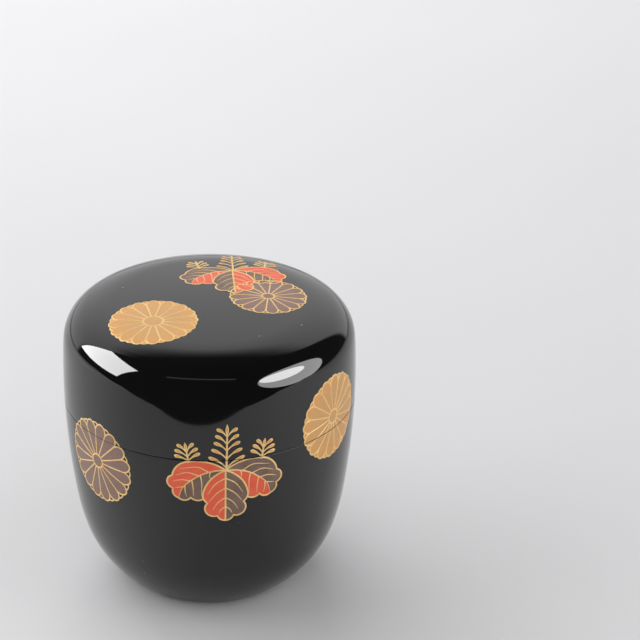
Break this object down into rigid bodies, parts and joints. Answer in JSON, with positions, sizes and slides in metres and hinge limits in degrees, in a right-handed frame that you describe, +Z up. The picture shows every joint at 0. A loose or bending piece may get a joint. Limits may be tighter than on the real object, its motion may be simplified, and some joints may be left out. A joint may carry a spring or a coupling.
{
  "type": "tea caddy",
  "caption": "Round lacquered tea caddy with a lift-off lid over a standing collar, a gently domed crown and raised chrysanthemum and paulownia ornament.",
  "frame": {"origin": "centre of the foot, on the surface the caddy stands on", "axes": "+Z up along the turning axis; the front paulownia spray faces -Y"},
  "size_m": [0.0661, 0.0662, 0.0683],
  "materials": {
    "wood": "turned, under lacquer",
    "black_lacquer": "polished mirror gloss",
    "inner_lacquer": "smooth gloss",
    "gold_powder": "gold powder in lacquer, satin",
    "russet_lacquer": "sprinkled russet powder in lacquer, satin",
    "vermilion_lacquer": "vermilion lacquer, satin"
  },
  "bodies": {
    "body": {"body_core": "wood", "body_inner_lacquer": "inner_lacquer", "body_side_lacquer": "black_lacquer", "base_lacquer": "black_lacquer", "right_chrysanthemum_lower": "gold_powder", "back_chrysanthemum_lower": "gold_powder", "left_chrysanthemum_lower": "russet_lacquer", "front_paulownia_leaves": "vermilion_lacquer", "front_paulownia_stems": "gold_powder", "right_back_paulownia_leaves": "vermilion_lacquer", "right_back_paulownia_stems": "gold_powder", "left_back_paulownia_leaves": "vermilion_lacquer", "left_back_paulownia_stems": "gold_powder"},
    "lid": {"lid_core": "wood", "lid_inner_lacquer": "inner_lacquer", "lid_outer_lacquer": "black_lacquer", "right_chrysanthemum_upper": "gold_powder", "back_chrysanthemum_upper": "gold_powder", "left_chrysanthemum_upper": "russet_lacquer", "front_paulownia_flowers": "gold_powder", "right_back_paulownia_flowers": "gold_powder", "left_back_paulownia_flowers": "gold_powder", "crown_gold_chrysanthemum": "gold_powder", "crown_russet_chrysanthemum": "russet_lacquer", "crown_paulownia_leaves": "vermilion_lacquer", "crown_paulownia_flowers": "gold_powder"}
  },
  "joints": [
    {"name": "lid_lift", "type": "slide", "parent": "body", "child": "lid", "axis": [0, 0, 1], "range_m": [0, 0.06]}
  ]
}
